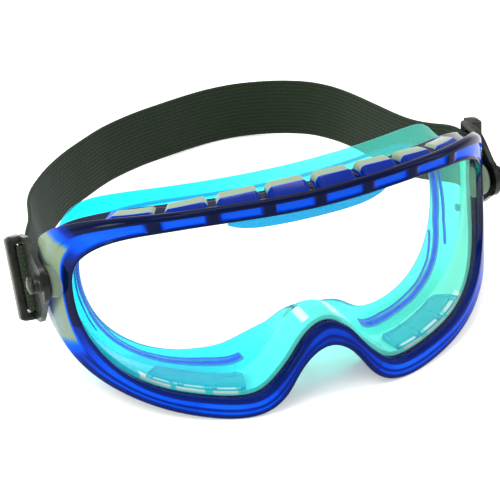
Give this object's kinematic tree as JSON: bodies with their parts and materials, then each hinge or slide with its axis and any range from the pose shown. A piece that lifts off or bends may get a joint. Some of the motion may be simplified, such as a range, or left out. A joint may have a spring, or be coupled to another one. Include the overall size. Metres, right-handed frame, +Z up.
{
  "type": "safety goggles",
  "caption": "Wrap-around safety goggles: tinted hard frame, clear curved lens, soft face seal, covered vents and an elastic headband on swivelling side clips.",
  "frame": {"origin": "middle of the object's bounding box in plan, at the surface that it rests on", "axes": "+X across the goggles along the swivel axis, to the viewer's right when looking at the lens; +Y from the lens towards the headband; +Z up"},
  "size_m": [0.1888, 0.1832, 0.0823],
  "materials": {
    "frame_blue": "clear-tinted polished dark blue plastic",
    "lens_clear": "clear polished polycarbonate",
    "seal_cyan": "translucent cyan soft elastomer, satin",
    "vent_blue": "translucent dark blue plastic",
    "baffle_cyan": "translucent pale blue plastic",
    "stud_blue": "moulded blue plastic",
    "clip_black": "glossy black moulded nylon",
    "pin_black": "glossy black moulded acetal",
    "strap_weave": "woven elastic webbing, dark olive charcoal"
  },
  "bodies": {
    "mask": {"frame": "frame_blue", "lens": "lens_clear", "face_seal": "seal_cyan", "top_vent_cover": "vent_blue", "vent_baffle": "baffle_cyan", "bottom_vent_left": "vent_blue", "bottom_vent_right": "vent_blue", "seal_studs": "stud_blue", "pivot_pin_left": "pin_black", "pivot_pin_right": "pin_black", "pivot_collar_left": "pin_black", "pivot_collar_right": "pin_black"},
    "headband": {"outrigger_left": "clip_black", "strap": "strap_weave"},
    "right_clip": {"outrigger_right": "clip_black"}
  },
  "joints": [
    {"name": "left_clip_swivel", "type": "hinge", "parent": "mask", "child": "headband", "pos_m": [-0.088, -0.03795, 0.04063], "axis": [1, 0, 0], "range_deg": [-20, 65]},
    {"name": "right_clip_swivel", "type": "hinge", "parent": "mask", "child": "right_clip", "pos_m": [0.088, -0.03795, 0.04063], "axis": [1, 0, 0], "range_deg": [-20, 65]}
  ],
  "couplings": [
    {"joint": "right_clip_swivel", "follows": "left_clip_swivel", "ratio": 1}
  ]
}
